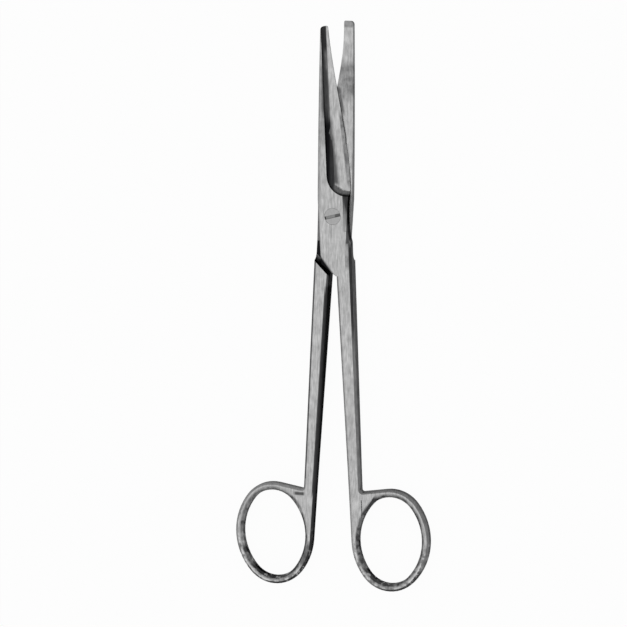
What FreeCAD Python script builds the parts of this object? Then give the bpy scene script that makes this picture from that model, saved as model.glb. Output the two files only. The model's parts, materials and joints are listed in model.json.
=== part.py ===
"""Straight dissecting scissors with a lap joint, finger rings and a slotted pivot screw.

Millimetres, +X to the right, +Y towards the tips, +Z up through the joint.
The origin lies on the pivot axis, on the flat back face of the joint, which rests on the table.
Each half is drawn closed, with its blade and joint plate above the riding plane at height zero.
The back half is then turned over, and both are opened by half of the rest opening.
"""
import FreeCAD
import Part

import math
import os

# Angle between the two halves at rest, in degrees
rest_opening = 6.6

# Lap joint
plate_thickness = 3.1
riding_gap = 0.04
front_spine_side = 5.2
back_spine_side = 5.7
front_waist_side = 4.2
front_waist_drop = 2.5
back_waist_side = 6.3
back_waist_drop = -1.0
lap_shoulder_angle = 42.0
lap_shoulder_drop = 21.0
lap_shoulder_radius = 2.0
shoulder_clearance = 0.25
handle_start_drop = 9.2

# Blades
front_blade_reach = 66.1
back_blade_reach = 68.1
front_tip_spine = 1.6
back_tip_spine = 2.15
front_tip_edge = 0.7
back_tip_edge = 1.2
front_knee_side = 2.75
back_knee_side = 2.1
knee_reach = 46.0
front_belly_side = 5.0
back_belly_side = 4.9
belly_reach = 28.7
front_heel_side = 6.2
back_heel_side = 6.85
heel_reach = 9.4
spine_start_reach = 6.0
spine_bow = 0.15
tip_thickness = 1.9
tip_spine_round = 1.3
tip_edge_round = 0.5
edge_land = 0.35
spine_edge_round = 0.45
bevel_slope = 8.0
ridge_offset = 1.45
ridge_shoulder_reach = 6.85
ridge_corner_radius = 7.2
bevel_wall_radius = 2.2
heel_wall_radius = 6.0
heel_wall_reach = 20.0
heel_wall_runout = 18.0
heel_runout_shift = 4.0
facet_side = 4.05
facet_lean = 0.3
facet_drop = 5.3
facet_top_slope = 22.0
facet_bottom_slope = 14.5
hollow_radius = 12.0
hollow_depth = 0.3
hollow_tip_depth = 0.06
hollow_start_reach = 17.0

# Shanks
shank_inner_offset = 0.05
shank_top_side = 5.78
shank_top_drop = 26.0
shank_low_side = 5.04
shank_low_drop = 90.0
handle_edge_round = 1.15

# Finger rings
front_ring_drop = 115.1
back_ring_drop = 115.4
ring_inner_offset = 0.5
ring_hole_width = 23.2
ring_hole_length = 31.2
ring_end_radius = 9.3
ring_band = 2.7
ring_tilt = 5.6
ring_thickness = 3.8
root_angle = 6.0
hole_chamfer = 0.7
crotch_radius = 0.8
web_recess_depth = 0.5
web_recess_inset = 2.7
web_recess_length = 9.0
web_recess_width = 8.0

# Pivot screw
screw_head_diameter = 5.8
screw_head_angle = 90.0
screw_head_edge = 0.4
screw_journal_diameter = 3.8
screw_thread_diameter = 3.2
screw_running_clearance = 0.05
screw_slot_width = 0.8
screw_slot_depth = 0.8
screw_slot_turn = 15.0

plate_bottom = riding_gap / 2
plate_top = plate_bottom + plate_thickness
clear_of_part = 30.0
up = FreeCAD.Vector(0, 0, 1)
origin = FreeCAD.Vector(0, 0, 0)


def at(x, y, z=0.0):
    return FreeCAD.Vector(x, y, z)


def line(start, end):
    return Part.LineSegment(start, end).toShape()


def curve_through_handle(start, handle, end):
    """A shallow curve that leaves start and reaches end along lines through the handle point."""
    curve = Part.BezierCurve()
    curve.setPoles([start, handle, end])
    return curve.toShape()


def bowed(start, end, bow):
    """A shallow curve whose middle stands off to the right of its travel by bow."""
    run = end - start
    right = at(run.y, -run.x).normalize()
    return curve_through_handle(start, (start + end) * 0.5 + right * (2 * bow), end)


def prism(edges, low, high):
    """Upright solid over a closed outline drawn at height zero."""
    solid = Part.Face(Part.Wire(edges)).extrude(up * (high - low))
    solid.translate(up * low)
    return solid


def polygon(points):
    return [line(a, b) for a, b in zip(points, points[1:] + points[:1])]


def slab(profile):
    """Solid of a side profile, given as (y, z) points, that runs right across the part."""
    points = [at(-clear_of_part * 2, y, z) for y, z in profile]
    face = Part.Face(Part.makePolygon(points + points[:1]))
    return face.extrude(at(clear_of_part * 4, 0))


def crossing(start, direction, other_start, other_direction):
    """Point where two straight lines of the plan meet."""
    between = other_start - start
    scale = between.cross(other_direction).z / direction.cross(other_direction).z
    return start + direction * scale


def upright_edge(shape, place):
    """The vertical edge of a prism that passes through a point of the plan."""
    def miss(edge):
        middle = edge.BoundBox.Center
        return math.hypot(middle.x - place.x, middle.y - place.y) + 1 / (edge.BoundBox.ZLength + 1e-6)
    return min(shape.Edges, key=miss)


def foot_edge(shape, place):
    """The edge in the riding plane whose middle lies at a point of the plan."""
    def miss(edge):
        middle = edge.BoundBox.Center
        return math.hypot(middle.x - place.x, middle.y - place.y) + edge.BoundBox.ZLength
    level = [edge for edge in shape.Edges if abs(edge.BoundBox.Center.z - plate_bottom) < 0.01]
    return min(level, key=miss)


def handle_top(y):
    """Height of the outer face of the shank, which thins evenly down to the flat ring."""
    fall = (plate_top - ring_thickness / 2) / (shank_low_drop - handle_start_drop)
    return plate_top + fall * (max(y, -shank_low_drop) + handle_start_drop)


class Ring:
    """The tilted oval of a finger ring in plan, drawn with two side and two end arcs."""

    def __init__(self, drop):
        tilt = math.radians(ring_tilt)
        self.long_way = at(math.sin(tilt), math.cos(tilt))
        self.short_way = at(math.cos(tilt), -math.sin(tilt))
        half_width = ring_hole_width / 2
        half_length = ring_hole_length / 2
        self.end_shift = half_length - ring_end_radius
        self.side_radius = ((half_width ** 2 + half_length ** 2
                             - 2 * half_length * ring_end_radius)
                            / (2 * (half_width - ring_end_radius)))
        self.side_shift = self.side_radius - half_width
        self.outer_side = self.side_radius + ring_band
        self.outer_end = ring_end_radius + ring_band
        centre_x = ring_inner_offset + self.outer_side - self.side_shift * self.short_way.x
        self.centre = at(centre_x, -drop)
        self.inner_centre = self.centre + self.short_way * self.side_shift
        self.outer_centre = self.centre - self.short_way * self.side_shift
        self.top_centre = self.centre + self.long_way * self.end_shift
        self.bottom_centre = self.centre - self.long_way * self.end_shift

    def hole(self):
        """Prism through the finger hole."""
        arcs = [
            (self.inner_centre, self.side_radius, self.bottom_centre, self.top_centre),
            (self.top_centre, ring_end_radius, self.inner_centre, self.outer_centre),
            (self.outer_centre, self.side_radius, self.top_centre, self.bottom_centre),
            (self.bottom_centre, ring_end_radius, self.outer_centre, self.inner_centre),
        ]
        edges = []
        for centre, radius, before, after in arcs:
            inward = centre in (self.inner_centre, self.outer_centre)
            sign = 1 if inward else -1
            start = centre + (before - centre).normalize() * (sign * radius)
            end = centre + (after - centre).normalize() * (sign * radius)
            edges.append(arc_about(centre, start, end, self.centre))
        return prism(edges, -clear_of_part, clear_of_part)

    def hole_rim(self, shape):
        """The edges round the finger hole at the outer face."""
        radii = (self.side_radius, ring_end_radius)
        rim = []
        for edge in shape.Edges:
            on_top = edge.BoundBox.ZMin > ring_thickness / 2 - 0.01
            if on_top and isinstance(edge.Curve, Part.Circle):
                if min(abs(edge.Curve.Radius - radius) for radius in radii) < 0.001:
                    rim.append(edge)
        return rim

    def joint_of_arcs(self, side_centre, end_centre):
        """Point of the outer oval where a side arc runs into an end arc."""
        return end_centre + (end_centre - side_centre).normalize() * self.outer_end

    def outer_edges(self, inner_point, root_point):
        """The outer oval from the shank, under the hole and round to the root."""
        bottom_in = self.joint_of_arcs(self.inner_centre, self.bottom_centre)
        bottom_out = self.joint_of_arcs(self.outer_centre, self.bottom_centre)
        top_out = self.joint_of_arcs(self.outer_centre, self.top_centre)
        return [
            arc_about(self.inner_centre, inner_point, bottom_in, self.centre),
            arc_about(self.bottom_centre, bottom_in, bottom_out, self.centre),
            arc_about(self.outer_centre, bottom_out, top_out, self.centre),
            arc_about(self.top_centre, top_out, root_point, self.centre),
        ]

    def inner_point(self, start):
        """Where a straight line from start touches the oval on the side of the shank."""
        away = start - self.inner_centre
        turn = math.acos(self.outer_side / away.Length)
        angle = math.atan2(away.y, away.x) + turn
        return self.inner_centre + at(math.cos(angle), math.sin(angle)) * self.outer_side

    def root_point(self):
        angle = math.radians(root_angle)
        return self.top_centre + at(-math.sin(angle), math.cos(angle)) * self.outer_end


def arc_about(centre, start, end, inside):
    """The arc about a centre that bulges away from a point inside the oval."""
    middle = (start + end) * 0.5
    bulge = (middle - centre).normalize() * (start - centre).Length
    if bulge.dot(middle - inside) < 0:
        bulge = bulge * -1
    return Part.Arc(start, centre + bulge, end).toShape()


def shank_outer_line():
    """A point and the upward run of the straight outer side of the shank."""
    low = at(shank_low_side, -shank_low_drop)
    return low, at(shank_top_side, -shank_top_drop) - low


def shank_outer_point(y):
    low, run = shank_outer_line()
    return crossing(low, run, at(0, y), at(1, 0))


def make_handle(ring_drop):
    """Shank and finger ring, full thickness, rounded along every long edge."""
    ring = Ring(ring_drop)
    low, run = shank_outer_line()
    root = ring.root_point()
    slope = math.radians(root_angle)
    crotch = crossing(low, run, root, at(math.cos(slope), math.sin(slope)))
    start = -handle_start_drop
    plate_corner = shank_outer_point(start)
    inner_corner = at(shank_inner_offset, start)
    inner_point = ring.inner_point(inner_corner)
    outline = [
        line(inner_corner, inner_point),
        *ring.outer_edges(inner_point, root),
        line(root, crotch),
        line(crotch, plate_corner),
        line(plate_corner, inner_corner),
    ]
    bend = -shank_low_drop
    end = -ring_drop - clear_of_part
    taper = slab([(start, 0), (start, handle_top(start)), (bend, handle_top(bend)),
                  (end, handle_top(end)), (end, 0)])
    upper = prism(outline, 0, clear_of_part).common(taper)
    upper = upper.makeFillet(crotch_radius, [upright_edge(upper, crotch)])
    rim = [edge for edge in upper.Edges
           if edge.BoundBox.ZMin > ring_thickness / 4 and edge.BoundBox.YLength > 0.01]
    upper = upper.makeFillet(handle_edge_round, rim)
    upper = upper.cut(ring.hole())
    upper = upper.makeChamfer(hole_chamfer, ring.hole_rim(upper))
    upper = upper.cut(make_web_recess(crotch))
    lower = upper.mirror(origin, up)
    return upper.fuse(lower).removeSplitter()


def make_web_recess(crotch):
    """Shallow pocket in the web between the root of the ring, the shank and the finger hole."""
    corner = crotch - at(0, web_recess_inset)
    outline = polygon([
        corner,
        corner - at(0, web_recess_length),
        corner + at(web_recess_width, 0),
    ])
    return prism(outline, handle_top(corner.y) - web_recess_depth, clear_of_part)


def curve_through(points):
    """A smooth curve through every point."""
    curve = Part.BSplineCurve()
    curve.interpolate(points)
    return curve.toShape()


def make_blade(plan):
    """Blade and joint plate, flat on the riding plane and thinned from the heel to the tip."""
    side = plan["spine_side"]
    reach = plan["reach"]
    start = -handle_start_drop
    slope = math.tan(math.radians(lap_shoulder_angle))
    tip_spine = at(-plan["tip_spine"], reach)
    tip_edge = at(plan["tip_edge"], reach)
    heel = at(plan["heel_side"], heel_reach)
    low = -lap_shoulder_drop - slope * shank_inner_offset
    inside_handle = shank_outer_point(low).x - handle_edge_round
    spine_start = at(-side, spine_start_reach)
    diagonal_top = at(-side, slope * side - lap_shoulder_drop)
    diagonal_end = at(shank_inner_offset, low)
    plate_corner = shank_outer_point(start)
    outline = [
        bowed(spine_start, tip_spine, -spine_bow),
        line(tip_spine, tip_edge),
        curve_through([tip_edge, at(plan["knee_side"], knee_reach),
                       at(plan["belly_side"], belly_reach), heel]),
        curve_through_handle(heel, at(plan["waist_side"], -plan["waist_drop"]), plate_corner),
        line(plate_corner, at(inside_handle, start)),
        line(at(inside_handle, start), at(inside_handle, low)),
        line(at(inside_handle, low), diagonal_end),
        line(diagonal_end, diagonal_top),
        line(diagonal_top, spine_start),
    ]
    blade = prism(outline, plate_bottom, clear_of_part)
    blade = blade.makeFillet(tip_spine_round, [upright_edge(blade, tip_spine)])
    blade = blade.makeFillet(tip_edge_round, [upright_edge(blade, tip_edge)])
    blade = blade.makeFillet(lap_shoulder_radius + shoulder_clearance / 2,
                             [foot_edge(blade, (diagonal_top + diagonal_end) * 0.5)])
    tip_top = plate_bottom + tip_thickness
    taper = slab([(low - 1, 0), (low - 1, handle_top(low - 1)), (start, plate_top),
                  (heel_reach, plate_top), (reach, tip_top), (reach + 1, tip_top),
                  (reach + 1, 0)])
    blade = blade.common(taper)
    rim = []
    for edge in blade.Edges:
        box = edge.BoundBox
        top = tip_top if box.YMin > 0 else handle_top(box.YMin)
        if box.ZMin > top - 0.01 and box.XMax < 0:
            rim.append(edge)
    blade = blade.makeFillet(spine_edge_round, rim)
    blade = blade.cut(make_bevel_cutter(heel, tip_edge))
    blade = blade.cut(make_heel_facet())
    for hollow in make_hollow_cutters(tip_spine, tip_edge):
        blade = blade.cut(hollow)
    return blade


def floor_edge(shape, plan_edge):
    """The lowest edge of a cutter that lies over an edge of its plan."""
    place = plan_edge.CenterOfMass

    def miss(edge):
        middle = edge.CenterOfMass
        return math.hypot(middle.x - place.x, middle.y - place.y) + abs(middle.z) * 0.02
    return min(shape.Edges, key=miss)


def above_bevel(outline, heel, tip_edge):
    """The part of an upright cutter that lies above the slope of the cutting edge."""
    far = clear_of_part
    along = (tip_edge - heel).normalize()
    towards_spine = at(-along.y, along.x)
    rise = math.tan(math.radians(bevel_slope))
    land = heel + up * (plate_bottom + edge_land) - along * far
    points = [
        land - towards_spine * far - up * (rise * far),
        land + towards_spine * far + up * (rise * far),
        land + towards_spine * far + up * far,
        land - towards_spine * far + up * far,
    ]
    space = Part.Face(Part.makePolygon(points + points[:1])).extrude(along * far * 5)
    return prism(outline, -far, far).common(space)


def wall_setback(radius, height):
    """How far behind its top edge a wall stands whose foot is rounded beyond its height."""
    return radius - math.sqrt(radius ** 2 - max(radius - height, 0) ** 2)


def make_bevel_cutter(heel, tip_edge):
    """What is ground off the outer face, up to the ridge and round to the shoulder.

    A wider wheel leaves a longer slope under the ridge beside the heel, and runs out of it."""
    far = clear_of_part
    top = tip_edge.y + far
    corner = ridge_corner_radius
    rise = math.tan(math.radians(bevel_slope))
    wall_height = plate_thickness - edge_land - rise * (heel.x + ridge_offset)
    shoulder = ridge_shoulder_reach

    ridge = -ridge_offset - wall_setback(bevel_wall_radius, wall_height)
    centre = at(ridge + corner, shoulder + corner)
    diagonal = at(-corner, -corner) * math.sqrt(0.5)
    wall = line(at(ridge, top), at(ridge, centre.y))
    bend = Part.Arc(at(ridge, centre.y), centre + diagonal, at(centre.x, shoulder)).toShape()
    shelf = line(at(centre.x, shoulder), at(far, shoulder))
    outline = [wall, bend, shelf, line(at(far, shoulder), at(far, top)),
               line(at(far, top), at(ridge, top))]
    narrow = above_bevel(outline, heel, tip_edge)
    narrow = narrow.makeFillet(bevel_wall_radius,
                               [floor_edge(narrow, edge) for edge in (wall, bend, shelf)])

    ridge = -ridge_offset - wall_setback(heel_wall_radius, wall_height)
    low = shoulder - corner
    wall_end = at(ridge, heel_wall_reach)
    runout_end = wall_end + at(-heel_runout_shift, heel_wall_runout)
    runout = curve_through_handle(runout_end, wall_end + at(0, heel_wall_runout / 2), wall_end)
    wall = line(wall_end, at(ridge, low))
    outline = [runout, wall, line(at(ridge, low), at(far, low)), line(at(far, low), at(far, top)),
               line(at(far, top), at(-far, top)), line(at(-far, top), at(-far, runout_end.y)),
               line(at(-far, runout_end.y), runout_end)]
    wide = above_bevel(outline, heel, tip_edge)
    wide = wide.makeFillet(heel_wall_radius,
                           [floor_edge(wide, edge) for edge in (runout, wall)])
    return narrow.common(wide)


def make_heel_facet():
    """What eases the plate's outer edge below the shoulder, twisting flatter as it goes down."""
    top = ridge_shoulder_reach * 2
    width = facet_side
    upper = at(facet_side, top, plate_top)
    lower = at(facet_side - facet_lean, -facet_drop, plate_top)
    upper_fall = width * math.tan(math.radians(facet_top_slope))
    lower_fall = width * math.tan(math.radians(facet_bottom_slope))
    surface = Part.makeRuledSurface(line(upper, lower),
                                    line(upper + at(width, 0, -upper_fall),
                                         lower + at(width, 0, -lower_fall)))
    return surface.extrude(up * plate_thickness)


def make_hollow_cutters(tip_spine, tip_edge):
    """The wide shallow hollow ground along the inner face, round-ended before the joint."""
    middle_heel = at(0, hollow_start_reach, hollow_depth - hollow_radius)
    middle_tip = (tip_spine + tip_edge) * 0.5 + up * (hollow_tip_depth - hollow_radius)
    run = middle_tip - middle_heel
    length = run.Length * 1.2
    groove = Part.makeCylinder(hollow_radius, length, middle_heel, run)
    return [groove, Part.makeSphere(hollow_radius, middle_heel)]


def make_half(plan):
    """One forging: blade, joint plate, shank and finger ring."""
    slope = math.tan(math.radians(lap_shoulder_angle))
    clearance = shoulder_clearance / math.cos(math.radians(lap_shoulder_angle))
    far = clear_of_part
    shoulder = -lap_shoulder_drop - clearance
    above_shoulder = polygon([
        at(far, shoulder + slope * far),
        at(far, far),
        at(-far, far),
        at(-far, shoulder - slope * far),
    ])
    lap = prism(above_shoulder, -far, plate_bottom)
    lap = lap.makeFillet(lap_shoulder_radius, [foot_edge(lap, at(0, shoulder))])
    handle = make_handle(plan["ring_drop"]).cut(lap)
    half = handle.fuse(make_blade(plan)).removeSplitter()
    return half.Solids[0]


def turned(shape, angle):
    turned_shape = shape.copy()
    turned_shape.rotate(origin, up, angle)
    return turned_shape


def make_front_half():
    half = make_half({
        "spine_side": front_spine_side,
        "waist_side": front_waist_side,
        "waist_drop": front_waist_drop,
        "reach": front_blade_reach,
        "tip_spine": front_tip_spine,
        "tip_edge": front_tip_edge,
        "knee_side": front_knee_side,
        "belly_side": front_belly_side,
        "heel_side": front_heel_side,
        "ring_drop": front_ring_drop,
    })
    half = turned(half, rest_opening / 2)
    half.translate(up * plate_top)
    return half.cut(make_screw_seat())


def make_back_half():
    half = make_half({
        "spine_side": back_spine_side,
        "waist_side": back_waist_side,
        "waist_drop": back_waist_drop,
        "reach": back_blade_reach,
        "tip_spine": back_tip_spine,
        "tip_edge": back_tip_edge,
        "knee_side": back_knee_side,
        "belly_side": back_belly_side,
        "heel_side": back_heel_side,
        "ring_drop": back_ring_drop,
    })
    half.rotate(origin, at(0, 1), 180)
    half = turned(half, -rest_opening / 2)
    half.translate(up * plate_top)
    hole = Part.makeCylinder(screw_thread_diameter / 2, plate_thickness + 1, at(0, 0, -0.5))
    return half.cut(hole)


def screw_profile(spread):
    """Half section of the screw from axis to rim, grown by a clearance where it turns."""
    top = 2 * plate_top
    seat = plate_thickness
    head = screw_head_diameter / 2 + spread
    journal = screw_journal_diameter / 2 + spread
    cone_run = (head - journal) / math.tan(math.radians(screw_head_angle / 2))
    thread = screw_thread_diameter / 2
    return [(0, top), (head, top), (head, top - screw_head_edge),
            (journal, top - screw_head_edge - cone_run), (journal, seat),
            (thread, seat), (thread, 0), (0, 0)]


def revolved(profile):
    points = [at(radius, 0, height) for radius, height in profile]
    return Part.Face(Part.makePolygon(points + points[:1])).revolve(origin, up, 360)


def make_screw_seat():
    return revolved(screw_profile(screw_running_clearance))


def make_pivot_screw():
    """Shouldered screw: slotted countersunk head, plain journal and threaded end."""
    screw = revolved(screw_profile(0))
    top = 2 * plate_top
    length = 2 * screw_head_diameter
    slot = Part.makeBox(length, screw_slot_width, screw_slot_depth * 2,
                        at(-length / 2, -screw_slot_width / 2, top - screw_slot_depth))
    return screw.cut(turned(slot, screw_slot_turn))


parts = {
    "front_half": make_front_half(),
    "back_half": make_back_half(),
    "pivot_screw": make_pivot_screw(),
}

os.makedirs("parts", exist_ok=True)
for name, shape in parts.items():
    solid = shape.Solids[0]
    box = solid.BoundBox
    print(name, len(shape.Solids), solid.isValid(), round(solid.Volume, 2), len(solid.Faces),
          [round(v, 2) for v in (box.XMin, box.YMin, box.ZMin, box.XMax, box.YMax, box.ZMax)])
    solid.exportStep("parts/" + name + ".step")
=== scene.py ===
import json
import math

import bpy
from mathutils import Matrix, Vector


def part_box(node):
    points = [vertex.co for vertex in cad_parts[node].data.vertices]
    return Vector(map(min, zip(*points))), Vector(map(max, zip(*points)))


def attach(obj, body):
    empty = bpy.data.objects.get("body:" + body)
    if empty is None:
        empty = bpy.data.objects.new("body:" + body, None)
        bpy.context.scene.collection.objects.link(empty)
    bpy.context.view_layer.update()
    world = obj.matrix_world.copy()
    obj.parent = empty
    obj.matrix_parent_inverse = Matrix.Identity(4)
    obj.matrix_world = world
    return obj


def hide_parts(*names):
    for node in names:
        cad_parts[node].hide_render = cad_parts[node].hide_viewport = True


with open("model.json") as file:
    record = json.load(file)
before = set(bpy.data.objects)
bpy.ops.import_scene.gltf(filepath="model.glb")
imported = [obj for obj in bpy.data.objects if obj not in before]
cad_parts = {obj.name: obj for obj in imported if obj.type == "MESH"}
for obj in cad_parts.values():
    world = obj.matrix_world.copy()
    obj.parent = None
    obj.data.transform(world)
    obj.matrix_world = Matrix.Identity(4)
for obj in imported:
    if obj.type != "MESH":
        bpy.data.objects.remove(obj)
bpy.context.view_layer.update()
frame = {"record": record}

scene = bpy.context.scene
scene.view_settings.view_transform = "Standard"

# The view
# The scissors lie on a table, seen through a long lens from high above,
# a little to the right of them and a little towards the blades' tips.
pivot_height = frame["record"]["behaviour"]["joints"][0]["pos_m"][2]
view_from_right = math.radians(18.0)
view_from_tips = math.radians(10.0)
picture_turn = math.radians(0.35)
picture_pixels = 627
pivot_pixel = (335.2, 215.3)
metres_per_pixel = 0.000348
camera_distance = 1.5
sensor_width = 36.0
nearest_seen = 0.1
farthest_seen = 10.0

towards_camera = Vector((math.tan(view_from_right), math.tan(view_from_tips), 1.0)).normalized()
picture_up = Vector((0, 1, 0))
picture_up = (picture_up - towards_camera * picture_up.dot(towards_camera)).normalized()
picture_right = picture_up.cross(towards_camera)
picture_up, picture_right = (
    picture_up * math.cos(picture_turn) - picture_right * math.sin(picture_turn),
    picture_right * math.cos(picture_turn) + picture_up * math.sin(picture_turn),
)
target = Vector((0, 0, pivot_height))
target += picture_right * ((picture_pixels / 2 - pivot_pixel[0]) * metres_per_pixel)
target -= picture_up * ((picture_pixels / 2 - pivot_pixel[1]) * metres_per_pixel)

camera_data = bpy.data.cameras.new("camera")
camera_data.sensor_width = sensor_width
camera_data.lens = sensor_width * camera_distance / (picture_pixels * metres_per_pixel)
camera_data.clip_start = nearest_seen
camera_data.clip_end = farthest_seen
camera = bpy.data.objects.new("camera", camera_data)
scene.collection.objects.link(camera)
camera.matrix_world = Matrix((
    (picture_right.x, picture_up.x, towards_camera.x, 0),
    (picture_right.y, picture_up.y, towards_camera.y, 0),
    (picture_right.z, picture_up.z, towards_camera.z, 0),
    (0, 0, 0, 1),
))
camera.location = target + towards_camera * camera_distance
scene.camera = camera

# The table
# A sheet of smooth white board under the scissors, wide enough to fill every view.
# It shows white to the eye and in the steel, and keeps a faint shadow of the scissors.
table_half_width = 2.0
table_colour = (0.9, 0.9, 0.9, 1)
table_white_share = 0.96


def new_material(name):
    """A material with an empty tree, its tree and its output node."""
    material = bpy.data.materials.new(name)
    material.use_nodes = True
    tree = material.node_tree
    tree.nodes.clear()
    return material, tree, tree.nodes.new("ShaderNodeOutputMaterial")


def add_node(tree, kind, inputs=(), **settings):
    """A node with its settings, and each given input set to a value or linked to a socket."""
    node = tree.nodes.new(kind)
    for key, value in settings.items():
        setattr(node, key, value)
    for key, value in dict(inputs).items():
        if isinstance(value, bpy.types.NodeSocket):
            tree.links.new(value, node.inputs[key])
        else:
            node.inputs[key].default_value = value
    return node


def math_node(tree, operation, first, second=0.0):
    return add_node(tree, "ShaderNodeMath", {0: first, 1: second}, operation=operation).outputs[0]


def seen_or_mirrored(tree):
    """One for rays that the camera, polished steel or glass sends out, zero for the rest."""
    light_path = add_node(tree, "ShaderNodeLightPath")
    seen = light_path.outputs["Is Camera Ray"]
    for ray in ("Is Glossy Ray", "Is Transmission Ray"):
        seen = math_node(tree, "MAXIMUM", seen, light_path.outputs[ray])
    return seen


table_mesh = bpy.data.meshes.new("table")
corners = [(-1, -1), (1, -1), (1, 1), (-1, 1)]
table_mesh.from_pydata([(x * table_half_width, y * table_half_width, 0) for x, y in corners],
                       [], [(0, 1, 2, 3)])
table = bpy.data.objects.new("table", table_mesh)
scene.collection.objects.link(table)

board, tree, output = new_material("white board")
share = math_node(tree, "MULTIPLY", seen_or_mirrored(tree), table_white_share)
plain = add_node(tree, "ShaderNodeBsdfDiffuse", {"Color": table_colour})
white = add_node(tree, "ShaderNodeEmission", {"Strength": 1.0})
board_mix = add_node(tree, "ShaderNodeMixShader",
                     {"Fac": share, 1: plain.outputs[0], 2: white.outputs[0]})
tree.links.new(board_mix.outputs[0], output.inputs["Surface"])
table_mesh.materials.append(board)

# The light
# One wide soft lamp hangs over the table, and a pale room gives the rest.
room_strength = 0.55
lamp_width = 1.6
lamp_power = 2.4
lamp_place = Vector((-0.25, 0.1, 1.6))

world = bpy.data.worlds.new("pale room")
scene.world = world
world.use_nodes = True
tree = world.node_tree
tree.nodes.clear()
output = tree.nodes.new("ShaderNodeOutputWorld")
background = add_node(tree, "ShaderNodeBackground",
                      {"Color": (1, 1, 1, 1), "Strength": room_strength})
white = add_node(tree, "ShaderNodeBackground", {"Color": (1, 1, 1, 1), "Strength": 1.0})
room_mix = add_node(tree, "ShaderNodeMixShader", {
    "Fac": seen_or_mirrored(tree), 1: background.outputs[0], 2: white.outputs[0]})
tree.links.new(room_mix.outputs[0], output.inputs["Surface"])

lamp_data = bpy.data.lights.new("soft lamp", "AREA")
lamp_data.shape = "SQUARE"
lamp_data.size = lamp_width
lamp_data.energy = lamp_power
lamp = bpy.data.objects.new("soft lamp", lamp_data)
lamp.location = lamp_place
lamp.rotation_euler = (-lamp_place).to_track_quat("-Z", "Y").to_euler()
scene.collection.objects.link(lamp)

# The front half
# One forging of stainless steel: blade, joint plate, shank and finger ring. Its flat faces are
# ground and brushed along their length. Its sides, rounded edges and the hollow wall beside the
# ridge carry painted shade, as if they reflected dark surroundings, and a smoother finish.
mm = 0.001
steel_light = (0.40, 0.40, 0.40, 1)
# The colour of all the painted shade, and of the rings' darker specks
shade_and_speck_colour = (0.008, 0.008, 0.009, 1)
steel_edge_tint = (0.3, 0.3, 0.3, 1)
brushed_roughness = 0.42
dark_roughness = 0.30
brushing_strength = 0.12
brushing_depth = 0.02 * mm
# Painted shade on the rim of the finger hole
rim_shade = 0.7
mottled_below = 0.6


def new_group(name, inputs, outputs):
    """A shader node group with float sockets, and its input and output nodes."""
    group = bpy.data.node_groups.new(name, "ShaderNodeTree")
    for socket_name, default in inputs.items():
        socket = group.interface.new_socket(socket_name, in_out="INPUT",
                                            socket_type="NodeSocketFloat")
        socket.default_value = default
    for socket_name in outputs:
        group.interface.new_socket(socket_name, in_out="OUTPUT", socket_type="NodeSocketFloat")
    return group, group.nodes.new("NodeGroupInput"), group.nodes.new("NodeGroupOutput")


def ramp_between(tree, value, low, high):
    """Zero below low, one above high, and smooth between them."""
    node = add_node(tree, "ShaderNodeMapRange",
                    {"Value": value, "From Min": low, "From Max": high},
                    interpolation_type="SMOOTHSTEP")
    return node.outputs["Result"]


def share_above(tree, value, middle, share):
    """How far a value lies above its middle, times a share. It is negative below the middle."""
    return math_node(tree, "MULTIPLY", math_node(tree, "SUBTRACT", value, middle), share)


# Painted shade on the walls: nought on the flat faces, one on the walls and rounded edges.
# Edges that face left keep only a share of it, painted lighter as if lit from the left.
facing_left = -0.45
hardly_left = -0.05
wall_shade_group, group_in, group_out = new_group(
    "painted shade of walls", {"Flat Cosine": 0.9816, "Wall Cosine": 0.94, "Left Share": 0.35}, ["Wall"])
coordinates = add_node(wall_shade_group, "ShaderNodeTexCoord")
facing = add_node(wall_shade_group, "ShaderNodeSeparateXYZ", {0: coordinates.outputs["Normal"]})
upright = math_node(wall_shade_group, "ABSOLUTE", facing.outputs["Z"])
flat = ramp_between(wall_shade_group, upright, group_in.outputs["Wall Cosine"],
                    group_in.outputs["Flat Cosine"])
wall = math_node(wall_shade_group, "SUBTRACT", 1.0, flat)
rightward = add_node(wall_shade_group, "ShaderNodeMapRange", {
    "Value": facing.outputs["X"], "From Min": facing_left, "From Max": hardly_left,
    "To Min": group_in.outputs["Left Share"], "To Max": 1.0})
wall_shade_group.links.new(math_node(wall_shade_group, "MULTIPLY", wall, rightward.outputs["Result"]),
                     group_out.inputs["Wall"])

# Brushing: fine streaks along the scissors, with broader clouds where the hand pressed harder.
# Tone is the steel's brightness, and Mottle makes the painted shade on rims and faint strips
# uneven.
streak_detail = 3.0
streak_roughness = 0.6
cloud_detail = 2.0
noise_middle = 0.5
thin_cloud = 0.35
thick_cloud = 0.65
grain_group, group_in, group_out = new_group(
    "brushed grain",
    {"Streak Width": 0.5 * mm, "Streak Length": 4.0 * mm, "Streak Share": 1.3,
     "Cloud Width": 2.5 * mm, "Cloud Share": 0.5, "Least Mottle": 0.5, "Most Mottle": 1.3},
    ["Streaks", "Tone", "Mottle"])
coordinates = add_node(grain_group, "ShaderNodeTexCoord")
across = math_node(grain_group, "DIVIDE", 1.0, group_in.outputs["Streak Width"])
along = math_node(grain_group, "DIVIDE", 1.0, group_in.outputs["Streak Length"])
stretch = add_node(grain_group, "ShaderNodeCombineXYZ", {"X": across, "Y": along, "Z": across})
stretched = add_node(grain_group, "ShaderNodeVectorMath",
                     {0: coordinates.outputs["Object"], 1: stretch.outputs[0]},
                     operation="MULTIPLY")
streaks = add_node(grain_group, "ShaderNodeTexNoise",
                   {"Vector": stretched.outputs[0], "Scale": 1.0, "Detail": streak_detail,
                    "Roughness": streak_roughness}).outputs["Fac"]
clouds = add_node(grain_group, "ShaderNodeTexNoise", {
    "Vector": coordinates.outputs["Object"], "Detail": cloud_detail,
    "Scale": math_node(grain_group, "DIVIDE", 1.0, group_in.outputs["Cloud Width"]),
}).outputs["Fac"]
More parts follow.
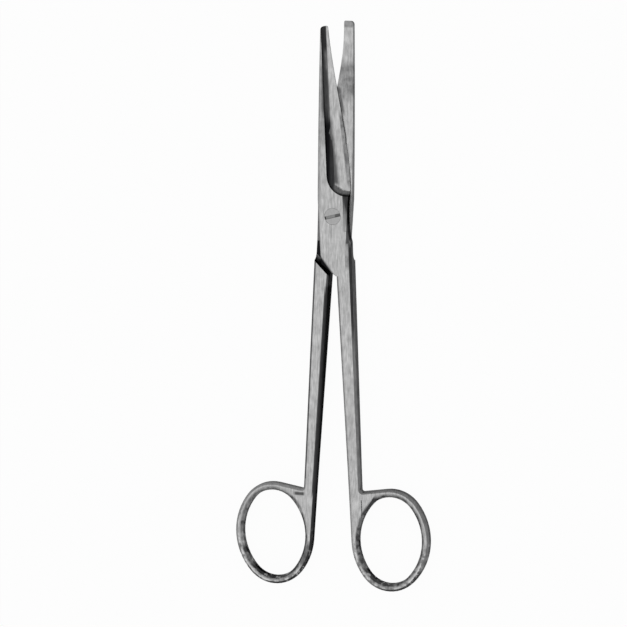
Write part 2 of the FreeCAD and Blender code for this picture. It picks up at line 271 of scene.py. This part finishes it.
uneven = math_node(
    grain_group, "ADD",
    share_above(grain_group, streaks, noise_middle, group_in.outputs["Streak Share"]),
    share_above(grain_group, clouds, noise_middle, group_in.outputs["Cloud Share"]))
mottle = add_node(grain_group, "ShaderNodeMapRange", {
    "Value": clouds, "From Min": thin_cloud, "From Max": thick_cloud,
    "To Min": group_in.outputs["Least Mottle"], "To Max": group_in.outputs["Most Mottle"]})
grain_group.links.new(streaks, group_out.inputs["Streaks"])
grain_group.links.new(math_node(grain_group, "ADD", uneven, 1.0), group_out.inputs["Tone"])
grain_group.links.new(mottle.outputs["Result"], group_out.inputs["Mottle"])

# Specks on the finger rings' lower part: lighter specks break up the painted shade on the walls,
# and darker and lighter specks are added. The limits are values of the specks' noise.
darkened_below = 0.40
undarkened_above = 0.54
speck_middle = 0.42
unbroken_below = 0.56
broken_above = 0.66
ring_specks_group, group_in, group_out = new_group(
    "specked finger ring",
    {"Speck Width": 2.0 * mm, "Specked Below": -120 * mm, "Unspecked Above": -110 * mm,
     "Shade Broken Share": 0.5, "Dark Specks Share": 0.45, "Bright Share": 1.8},
    ["Wall Left", "Dark Specks", "Brightening"])
coordinates = add_node(ring_specks_group, "ShaderNodeTexCoord")
place = add_node(ring_specks_group, "ShaderNodeSeparateXYZ", {0: coordinates.outputs["Object"]})
unspecked = ramp_between(ring_specks_group, place.outputs["Y"], group_in.outputs["Specked Below"],
                      group_in.outputs["Unspecked Above"])
specked = math_node(ring_specks_group, "SUBTRACT", 1.0, unspecked)
specks = add_node(ring_specks_group, "ShaderNodeTexNoise", {
    "Vector": coordinates.outputs["Object"], "Detail": cloud_detail,
    "Scale": math_node(ring_specks_group, "DIVIDE", 1.0, group_in.outputs["Speck Width"]),
}).outputs["Fac"]
shade_broken = math_node(ring_specks_group, "MULTIPLY",
                   ramp_between(ring_specks_group, specks, unbroken_below, broken_above),
                   group_in.outputs["Shade Broken Share"])
wall_shade_kept = math_node(ring_specks_group, "SUBTRACT", 1.0,
                      math_node(ring_specks_group, "MULTIPLY", specked, shade_broken))
darkened = math_node(ring_specks_group, "SUBTRACT", 1.0,
                  ramp_between(ring_specks_group, specks, darkened_below, undarkened_above))
dark_specks = math_node(ring_specks_group, "MULTIPLY", darkened, group_in.outputs["Dark Specks Share"])
brightening = share_above(ring_specks_group, specks, speck_middle, group_in.outputs["Bright Share"])
ring_specks_group.links.new(wall_shade_kept, group_out.inputs["Wall Left"])
ring_specks_group.links.new(math_node(ring_specks_group, "MULTIPLY", dark_specks, specked), group_out.inputs["Dark Specks"])
ring_specks_group.links.new(math_node(ring_specks_group, "MULTIPLY", brightening, specked),
                     group_out.inputs["Brightening"])

# Strip beside a straight line drawn on the part: the line is its x at the pivot and its lean
# towards the tips, and the strip fades out over its own softness on each of its four sides
strip_group, group_in, group_out = new_group(
    "strip beside a line",
    {"Line X": 0.0, "Line Lean": 0.0, "Left": 0.0, "Left Soft": mm, "Right": mm, "Right Soft": mm,
     "Bottom": 0.0, "Bottom Soft": mm, "Top": mm, "Top Soft": mm,
     "Lowest Height": -1.0, "Highest Height": 1.0}, ["Strip"])
coordinates = add_node(strip_group, "ShaderNodeTexCoord")
place = add_node(strip_group, "ShaderNodeSeparateXYZ", {0: coordinates.outputs["Object"]})
line_x = math_node(strip_group, "ADD", group_in.outputs["Line X"],
                   math_node(strip_group, "MULTIPLY", place.outputs["Y"],
                             group_in.outputs["Line Lean"]))
from_line = math_node(strip_group, "SUBTRACT", place.outputs["X"], line_x)


def risen(value, start, softness):
    """Zero before start less softness, one from start on."""
    start_of_rise = math_node(strip_group, "SUBTRACT", group_in.outputs[start],
                              group_in.outputs[softness])
    return ramp_between(strip_group, value, start_of_rise, group_in.outputs[start])


def fallen(value, end, softness):
    """One up to end, zero from end and softness on."""
    end_of_fall = math_node(strip_group, "ADD", group_in.outputs[end],
                            group_in.outputs[softness])
    rise = ramp_between(strip_group, value, group_in.outputs[end], end_of_fall)
    return math_node(strip_group, "SUBTRACT", 1.0, rise)


sideways = math_node(strip_group, "MULTIPLY", risen(from_line, "Left", "Left Soft"),
                     fallen(from_line, "Right", "Right Soft"))
lengthways = math_node(strip_group, "MULTIPLY", risen(place.outputs["Y"], "Bottom", "Bottom Soft"),
                       fallen(place.outputs["Y"], "Top", "Top Soft"))
height = place.outputs["Z"]
in_height = math_node(
    strip_group, "MULTIPLY",
    math_node(strip_group, "GREATER_THAN", height, group_in.outputs["Lowest Height"]),
    math_node(strip_group, "LESS_THAN", height, group_in.outputs["Highest Height"]))
in_plan = math_node(strip_group, "MULTIPLY", sideways, lengthways)
strip_group.links.new(math_node(strip_group, "MULTIPLY", in_plan, in_height),
                      group_out.inputs["Strip"])

# Rim of an oval finger hole, for the painted shade on its edge: one on its edge, fading over
# the band round it
finger_hole_half_width = 11.6 * mm
finger_hole_half_length = 15.6 * mm
finger_hole_lean = math.radians(2.3)
rim_group, group_in, group_out = new_group(
    "rim of the finger hole",
    {"Centre X": 0.0, "Centre Y": 0.0, "Lean": 0.0, "Half Width": finger_hole_half_width,
     "Half Length": finger_hole_half_length, "Full To": 1.05, "Gone At": 1.12}, ["Rim"])
coordinates = add_node(rim_group, "ShaderNodeTexCoord")
centre = add_node(rim_group, "ShaderNodeCombineXYZ", {"X": group_in.outputs["Centre X"],
                                                      "Y": group_in.outputs["Centre Y"]})
from_centre = add_node(rim_group, "ShaderNodeVectorMath",
                       {0: coordinates.outputs["Object"], 1: centre.outputs[0]},
                       operation="SUBTRACT")
turned_back = add_node(rim_group, "ShaderNodeVectorRotate",
                       {"Vector": from_centre.outputs[0], "Angle": group_in.outputs["Lean"]},
                       rotation_type="Z_AXIS")
own_axes = add_node(rim_group, "ShaderNodeSeparateXYZ", {0: turned_back.outputs[0]})
oval = add_node(rim_group, "ShaderNodeCombineXYZ", {
    "X": math_node(rim_group, "DIVIDE", own_axes.outputs["X"], group_in.outputs["Half Width"]),
    "Y": math_node(rim_group, "DIVIDE", own_axes.outputs["Y"], group_in.outputs["Half Length"])})
oval_distance = add_node(rim_group, "ShaderNodeVectorMath", {0: oval.outputs[0]},
                         operation="LENGTH").outputs["Value"]
off_rim = ramp_between(rim_group, oval_distance, group_in.outputs["Full To"],
                       group_in.outputs["Gone At"])
rim_group.links.new(math_node(rim_group, "SUBTRACT", 1.0, off_rim), group_out.inputs["Rim"])
hole_centres = {mount["name"]: mount["pos_m"] for mount in frame["record"]["mounts"]}

# A line is its x at the pivot in millimetres and its lean. A strip's place is a line, then its
# left edge, softness, right edge and softness from that line, then its bottom edge, softness,
# top edge and softness from the pivot, and where needed the heights that it keeps between.
axis_line = (0, 0)
whole_width = (-100, 1, 100, 1)
every_height = (-1000, 1000)


def strip_mask(tree, line, sides, ends, heights=every_height):
    names = ["Line X", "Left", "Left Soft", "Right", "Right Soft", "Bottom", "Bottom Soft",
             "Top", "Top Soft", "Lowest Height", "Highest Height"]
    sizes = {"Line Lean": line[1]}
    for socket_name, value in zip(names, (line[0],) + sides + ends + heights):
        sizes[socket_name] = value * mm
    return add_node(tree, "ShaderNodeGroup", sizes, node_tree=strip_group).outputs["Strip"]


def finish_steel(name, left_share, wall_share, wall_strips, dark_strips, hole, hole_lean):
    """Brushed stainless steel, darker on its walls, on its finger hole's rim and in strips.

    Each strip is its darkness and its place. A wall strip gives the walls in it that darkness
    in place of wall_share. A dark strip darkens whatever lies in it, unevenly if it is faint.
    The darkness on the walls, on the rim and in the strips is painted shade.
    """
    material, tree, output = new_material(name)
    tilt = add_node(tree, "ShaderNodeGroup", {"Left Share": left_share}, node_tree=wall_shade_group)
    grain = add_node(tree, "ShaderNodeGroup", node_tree=grain_group)
    ring_specks = add_node(tree, "ShaderNodeGroup", node_tree=ring_specks_group)
    rim = add_node(tree, "ShaderNodeGroup",
                   {"Centre X": hole[0], "Centre Y": hole[1], "Lean": hole_lean},
                   node_tree=rim_group)
    # Painted shade on the walls, its amount changed strip by strip
    wall_darkness = wall_share
    for darkness, *place in wall_strips:
        wall_darkness = add_node(tree, "ShaderNodeMapRange", {
            "Value": strip_mask(tree, *place), "To Min": wall_darkness,
            "To Max": darkness}).outputs["Result"]
    dark = math_node(tree, "MULTIPLY", tilt.outputs["Wall"], wall_darkness)
    dark = math_node(tree, "MULTIPLY", dark, ring_specks.outputs["Wall Left"])
    dark = math_node(tree, "MAXIMUM", dark, ring_specks.outputs["Dark Specks"])
    on_rim = math_node(tree, "MULTIPLY", rim.outputs["Rim"], rim_shade)
    dark = math_node(tree, "MAXIMUM", dark,
                     math_node(tree, "MULTIPLY", on_rim, grain.outputs["Mottle"]))
    for darkness, *place in dark_strips:
        in_strip = math_node(tree, "MULTIPLY", strip_mask(tree, *place), darkness)
        if darkness < mottled_below:
            in_strip = math_node(tree, "MULTIPLY", in_strip, grain.outputs["Mottle"])
        dark = math_node(tree, "MAXIMUM", dark, in_strip)
    tone = math_node(tree, "ADD", grain.outputs["Tone"], ring_specks.outputs["Brightening"])
    toned = add_node(tree, "ShaderNodeVectorMath", {0: steel_light[:3], "Scale": tone},
                     operation="SCALE")
    colour = add_node(tree, "ShaderNodeMixRGB",
                      {"Fac": dark, "Color1": toned.outputs[0], "Color2": shade_and_speck_colour})
    rough = add_node(tree, "ShaderNodeMapRange",
                     {"Value": dark, "To Min": brushed_roughness, "To Max": dark_roughness})
    bump = add_node(tree, "ShaderNodeBump", {"Height": grain.outputs["Streaks"],
                                             "Strength": brushing_strength,
                                             "Distance": brushing_depth})
    shader = add_node(tree, "ShaderNodeBsdfPrincipled", {
        "Base Color": colour.outputs[0], "Metallic": 1.0, "Specular Tint": steel_edge_tint,
        "Roughness": rough.outputs["Result"], "Normal": bump.outputs[0]})
    tree.links.new(shader.outputs[0], output.inputs["Surface"])
    return material


def dress(node, material):
    for slot in bpy.data.objects[node].material_slots:
        slot.material = material


front_ridge = (-2.42, -0.0166)
front_tip_ridge = (2.6, -0.13)
front_edge = (7.25, -0.133)
front_bevel_foot = (3.0, -0.13)
front_left_side = (-5.4, 0)
front_shoulder = (-16.0, -0.763)
front_hole_corner = (81.4, 0.67)
shank_right_side = (5.3, 0)
shank_edge_heights = (5.1, 6.1)
# Painted shade on the walls, strip by strip, each in place of wall_share
front_walls = [
    # The shank's rounded upper edges below the joint
    (0.93, axis_line, whole_width, (-36, 12, -11, 2), shank_edge_heights),
    # The sides of the joint plate and the blade
    (0.94, axis_line, whole_width, (-9, 2, 70, 1)),
    # The end of the hollow wall, where it curves round the blade's heel
    (0.75, axis_line, (0.5, 1, 9, 1), (8.2, 1, 11, 1)),
    # The plate's right side, where it narrows to the shank
    (0.72, axis_line, (4.5, 0.5, 12, 1), (-9, 1, -4, 2)),
    # The hollow wall beside the ridge: blackest near the heel, then lighter towards the tip
    (1.0, front_ridge, (-2, 1, 0.7, 1.0), (13, 3, 31, 4)),
    (0.88, front_ridge, (-3, 1, 5, 1), (38, 4, 51, 4)),
    (0.7, front_ridge, (0.9, 0.5, 5, 1), (36, 4, 55, 4)),
    (0.7, front_tip_ridge, (0.9, 0.6, 5, 1), (46, 3, 55, 4)),
    # The inner wall at the bottom of the finger hole
    (0.9, axis_line, (12.5, 1.5, 60, 1), (-140, 1, -125.5, 2))]
# Painted shade in strips: on the blade, the plate's margins, the shoulder's gap and the hole's
# corner
front_painted_shade = [
    # The spine beside the ridge at mid blade, and the ridge itself near the tip
    (0.35, front_ridge, (-4, 1, 0.3, 0.2), (27, 5, 37, 6)),
    (0.85, front_ridge, (-0.6, 1.9, 0.3, 0.2), (38, 6, 50, 6)),
    # The foot of the bevel, and the cutting edge
    (0.8, front_bevel_foot, (-1.3, 0.3, -0.9, 2.0), (12, 2, 31, 8)),
    (0.55, front_edge, (-1.0, 0.5, 0.5, 0.2), (12, 3, 34, 4)),
    # The right margin of the shank's top, and of the joint plate beside the screw
    (0.5, shank_right_side, (-0.4, 0.4, 3, 1), (-16, 4, -9, 2)),
    (0.86, shank_right_side, (-0.2, 0.3, 0.9, 0.3), (-9.0, 1.0, 2, 4)),
    # The left margin of the joint plate and the blade, black at the shoulder's upper end
    (0.35, front_left_side, (-2, 1, 0.2, 1.4), (-14, 3, 33, 3)),
    (1.0, front_left_side, (-3, 1, 0.4, 0.5), (-16, 1, -10.5, 2)),
    # The painted shadow in the gap at the shoulder
    (1.0, front_shoulder, (-3, 1, 0.4, 1.2), (-20.5, 0.3, -13.2, 0.6)),
    # The upper corner of the finger hole
    (0.92, front_hole_corner, (0.35, 0.4, 3, 0.5), (-104, 1.5, -99.5, 2.0))]
dress("front_half", finish_steel(
    "front steel", left_share=0.35, wall_share=0.62, wall_strips=front_walls,
    dark_strips=front_painted_shade, hole=hole_centres["front_ring_hole"], hole_lean=finger_hole_lean))

# The back half
# The same forging turned over, so that its blade and joint plate lie under the front ones
# and its ring lies to the left.
under_front_edge = (8.22, -0.1685)
shank_inner_edge = (-1.1, 0.062)
riding_face_heights = (3.05, 3.2)
beside_front_plate = (-20, 1, -2.4, 0.6)
# Painted shade on the walls, strip by strip, each in place of wall_share
back_walls = [
    # The shank's inner wall under the shoulder
    (0.85, axis_line, (-6, 1, 2, 1), (-24, 1.5, -14, 1)),
    # The ring's outer wall where it leaves the shank
    (0.5, axis_line, (-34, 1, -9.5, 0.5), (-102, 4, -94, 0.5)),
    # The walls of the ring's left side, lighter farthest left
    (0.8, axis_line, (-60, 1, -21, 2), (-121, 3, -101, 2)),
    (0.45, axis_line, (-60, 1, -27, 1), (-121, 3, -101, 2)),
    (0.7, axis_line, (-60, 1, -29, 2), (-125, 2, -121, 3)),
    # The right side of the joint plate and the blade
    (0.3, axis_line, (3, 1, 60, 1), (-8, 1, 80, 1))]
# Painted shade in strips: in the web's recess, on the ring, the riding face, the shank and the
# blade
back_painted_shade = [
    # The recess in the web between shank and ring
    (0.82, axis_line, (-13.2, 1.2, -10.6, 0.8), (-99.6, 0.6, -99.1, 0.7)),
    # The ring's lower right part
    (0.75, axis_line, (-11.3, 1, -5, 1), (-124, 3, -119, 4)),
    # Painted shade on the riding face where it shows left of the front plate
    (1.0, axis_line, beside_front_plate, (-15, 0.6, -9.5, 1.5), riding_face_heights),
    (0.72, axis_line, beside_front_plate, (-14, 1.5, 8.0, 0.5), riding_face_heights),
    # The shank's inner edge
    (0.9, shank_inner_edge, (0, 0.3, 3, 1), (-98, 4, -28, 5)),
    # A painted shadow and reflection of the front blade: a dark patch on the blade's flat, and its
    # margin beside the front blade's edge
    (0.5, axis_line, (-1, 1, 8, 1), (43, 5, 52, 3)),
    (0.75, under_front_edge, (-0.8, 0.3, 0.5, 0.9), (37, 3, 42, 2)),
    (0.78, under_front_edge, (-0.8, 0.3, 0.1, 2.0), (43, 3, 44, 2.5)),
    # The cap of the blunt tip
    (0.45, axis_line, whole_width, (66.3, 1.0, 80, 1))]
dress("back_half", finish_steel(
    "back steel", left_share=0.8, wall_share=0.94, wall_strips=back_walls,
    dark_strips=back_painted_shade, hole=hole_centres["back_ring_hole"], hole_lean=-finger_hole_lean))

# The pivot screw
# A slotted steel screw, turned in a lathe. Its head is countersunk flush in the front plate and
# its threaded end is ground flush with the back one.
screw_head_radius = 2.93 * mm
screw_head_rim = 0.4 * mm
screw_rim_round = 0.06 * mm
screw_journal_radius = 1.9 * mm
screw_thread_radius = 1.6 * mm
screw_slot_width = 1.1 * mm
screw_slot_depth = 0.6 * mm
screw_slot_turn = math.radians(15)
turning_steps = 96
weld_distance = 0.0005 * mm
crisp_from = math.radians(30)
screw_shoulder = pivot_height
lowest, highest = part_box("pivot_screw")
screw_end = lowest[2]
screw_top = highest[2]
rim_bottom = screw_top - screw_head_rim
cone_bottom = rim_bottom - (screw_head_radius - screw_journal_radius)

# Radius and height along the screw's outline. A face that should be level rises by a hair,
# because two points at one height would meet on the axis that the outline is turned round.
hair = 0.002 * mm
screw_profile = [
    (0, screw_end), (screw_thread_radius - screw_rim_round, screw_end + hair),
    (screw_thread_radius, screw_end + screw_rim_round),
    (screw_thread_radius, screw_shoulder - hair),
    (screw_journal_radius, screw_shoulder), (screw_journal_radius, cone_bottom),
    (screw_head_radius, rim_bottom), (screw_head_radius, screw_top - screw_rim_round),
    (screw_head_radius - screw_rim_round, screw_top - hair), (0, screw_top)]

turning = bpy.data.node_groups.new("turned screw", "GeometryNodeTree")
for socket_name, socket_type, default in (
        ("Geometry", "NodeSocketGeometry", None),
        ("Turning Steps", "NodeSocketInt", turning_steps),
        ("Slot Width", "NodeSocketFloat", screw_slot_width),
        ("Slot Depth", "NodeSocketFloat", screw_slot_depth),
        ("Slot Turn", "NodeSocketFloat", screw_slot_turn),
        ("Head Top", "NodeSocketFloat", screw_top),
        ("Head Radius", "NodeSocketFloat", screw_head_radius),
        ("Finish", "NodeSocketMaterial", None)):
    socket = turning.interface.new_socket(socket_name, in_out="INPUT", socket_type=socket_type)
    if default is not None:
        socket.default_value = default
turning.interface.new_socket("Geometry", in_out="OUTPUT", socket_type="NodeSocketGeometry")
given = turning.nodes.new("NodeGroupInput")
made = turning.nodes.new("NodeGroupOutput")

# The outline becomes a curve straight up the axis, with each point's radius as its thickness
position = add_node(turning, "GeometryNodeInputPosition")
radius_and_height = add_node(turning, "ShaderNodeSeparateXYZ", {0: position.outputs[0]})
axis_curve = add_node(turning, "GeometryNodeMeshToCurve", {"Mesh": given.outputs["Geometry"]})
with_radius = add_node(turning, "GeometryNodeSetCurveRadius",
                       {"Curve": axis_curve.outputs[0], "Radius": radius_and_height.outputs["X"]})
height_only = add_node(turning, "ShaderNodeCombineXYZ", {"Z": radius_and_height.outputs["Z"]})
on_axis = add_node(turning, "GeometryNodeSetPosition",
                   {"Geometry": with_radius.outputs[0], "Position": height_only.outputs[0]})
circle = add_node(turning, "GeometryNodeCurvePrimitiveCircle",
                  {"Resolution": given.outputs["Turning Steps"], "Radius": 1.0})
ring_radius = add_node(turning, "GeometryNodeInputRadius")
turned = add_node(turning, "GeometryNodeCurveToMesh",
                  {"Curve": on_axis.outputs[0], "Profile Curve": circle.outputs[0],
                   "Scale": ring_radius.outputs[0]})
made_whole = add_node(turning, "GeometryNodeMergeByDistance",
                      {"Geometry": turned.outputs[0], "Distance": weld_distance})

# The slot is cut by a bar twice as long as the head is wide, which stands as far above the
# head's top as it cuts below it
cutter_size = add_node(turning, "ShaderNodeCombineXYZ", {
    "X": math_node(turning, "MULTIPLY", given.outputs["Head Radius"], 4.0),
    "Y": given.outputs["Slot Width"],
    "Z": math_node(turning, "MULTIPLY", given.outputs["Slot Depth"], 2.0)})
cutter = add_node(turning, "GeometryNodeMeshCube", {"Size": cutter_size.outputs[0]})
cutter_place = add_node(turning, "ShaderNodeCombineXYZ", {"Z": given.outputs["Head Top"]})
cutter_turn = add_node(turning, "ShaderNodeCombineXYZ", {"Z": given.outputs["Slot Turn"]})
placed_cutter = add_node(turning, "GeometryNodeTransform", {
    "Geometry": cutter.outputs["Mesh"], "Translation": cutter_place.outputs[0],
    "Rotation": cutter_turn.outputs[0]})
slotted = add_node(turning, "GeometryNodeMeshBoolean",
                   {"Mesh 1": made_whole.outputs[0], "Mesh 2": placed_cutter.outputs[0]},
                   operation="DIFFERENCE", solver="EXACT")
smooth = add_node(turning, "GeometryNodeSetShadeSmooth",
                  {"Geometry": slotted.outputs["Mesh"], "Shade Smooth": True}, domain="FACE")
edge_angle = add_node(turning, "GeometryNodeInputMeshEdgeAngle")
sharp = math_node(turning, "GREATER_THAN", edge_angle.outputs["Unsigned Angle"], crisp_from)
crisp = add_node(turning, "GeometryNodeSetShadeSmooth",
                 {"Geometry": smooth.outputs[0], "Selection": sharp, "Shade Smooth": False},
                 domain="EDGE")
real = add_node(turning, "GeometryNodeRealizeInstances", {"Geometry": crisp.outputs[0]})
finished = add_node(turning, "GeometryNodeSetMaterial",
                    {"Geometry": real.outputs[0], "Material": given.outputs["Finish"]})
turning.links.new(finished.outputs[0], made.inputs["Geometry"])

# Turned finish: rings round the axis that the lathe tool left, a little brushed over, with
# painted shade on its walls and in the slot, most of it at the slot's right end
rings_per_metre = 6000.0
rings_detail = 2.0
rings_depth = 0.02 * mm
rings_strength = 0.2
screw_tone = 0.60
rings_share = 0.25
screw_streak_length = 1.0 * mm
screw_streak_share = 0.25
screw_wall_darkness = 0.6
screw_roughness = 0.45
slot_shade_share = 0.35
across_screw = (-9, 1, 9, 1)
right_end = (1.0, 0.6, 9, 1)
below_head_top = (5, 6.2)
screw_steel, tree, output = new_material("screw steel")
coordinates = add_node(tree, "ShaderNodeTexCoord")
flattened = add_node(tree, "ShaderNodeVectorMath",
                     {0: coordinates.outputs["Object"], 1: (1, 1, 0)}, operation="MULTIPLY")
from_axis = add_node(tree, "ShaderNodeVectorMath", {0: flattened.outputs[0]}, operation="LENGTH")
rings = add_node(tree, "ShaderNodeTexNoise",
                 {"W": from_axis.outputs["Value"], "Scale": rings_per_metre,
                  "Detail": rings_detail}, noise_dimensions="1D")
tilt = add_node(tree, "ShaderNodeGroup", node_tree=wall_shade_group)
grain = add_node(tree, "ShaderNodeGroup", {"Streak Length": screw_streak_length},
                 node_tree=grain_group)
tone = math_node(tree, "ADD", screw_tone,
                 math_node(tree, "MULTIPLY", rings.outputs["Fac"], rings_share))
tone = math_node(tree, "ADD", tone,
                 math_node(tree, "MULTIPLY", grain.outputs["Streaks"], screw_streak_share))
toned = add_node(tree, "ShaderNodeVectorMath", {0: steel_light[:3], "Scale": tone},
                 operation="SCALE")
in_slot = strip_mask(tree, axis_line, whole_width, across_screw, below_head_top)
slot_end = strip_mask(tree, axis_line, right_end, across_screw, below_head_top)
slot_shade = math_node(tree, "ADD", math_node(tree, "MULTIPLY", in_slot, slot_shade_share),
                      math_node(tree, "MULTIPLY", slot_end, slot_shade_share))
wall = math_node(tree, "MULTIPLY", tilt.outputs["Wall"], screw_wall_darkness)
colour = add_node(tree, "ShaderNodeMixRGB", {
    "Fac": math_node(tree, "MAXIMUM", wall, slot_shade), "Color1": toned.outputs[0],
    "Color2": shade_and_speck_colour})
bump = add_node(tree, "ShaderNodeBump", {"Height": rings.outputs["Fac"],
                                         "Strength": rings_strength, "Distance": rings_depth})
shader = add_node(tree, "ShaderNodeBsdfPrincipled", {
    "Base Color": colour.outputs[0], "Metallic": 1.0, "Roughness": screw_roughness,
    "Specular Tint": steel_edge_tint, "Normal": bump.outputs[0]})
tree.links.new(shader.outputs[0], output.inputs["Surface"])

profile_mesh = bpy.data.meshes.new("screw profile")
profile_mesh.from_pydata([(radius, 0, height) for radius, height in screw_profile],
                         [(i, i + 1) for i in range(len(screw_profile) - 1)], [])
profile_object = bpy.data.objects.new("screw profile", profile_mesh)
scene.collection.objects.link(profile_object)
modifier = profile_object.modifiers.new("turned screw", "NODES")
modifier.node_group = turning
for item in turning.interface.items_tree:
    if item.in_out == "INPUT" and item.name == "Finish":
        modifier[item.identifier] = screw_steel
turned_mesh = bpy.data.meshes.new_from_object(
    profile_object.evaluated_get(bpy.context.evaluated_depsgraph_get()))
bpy.data.objects.remove(profile_object)
turned_screw = bpy.data.objects.new("turned_screw", turned_mesh)
scene.collection.objects.link(turned_screw)
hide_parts("pivot_screw")
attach(turned_screw, "back")
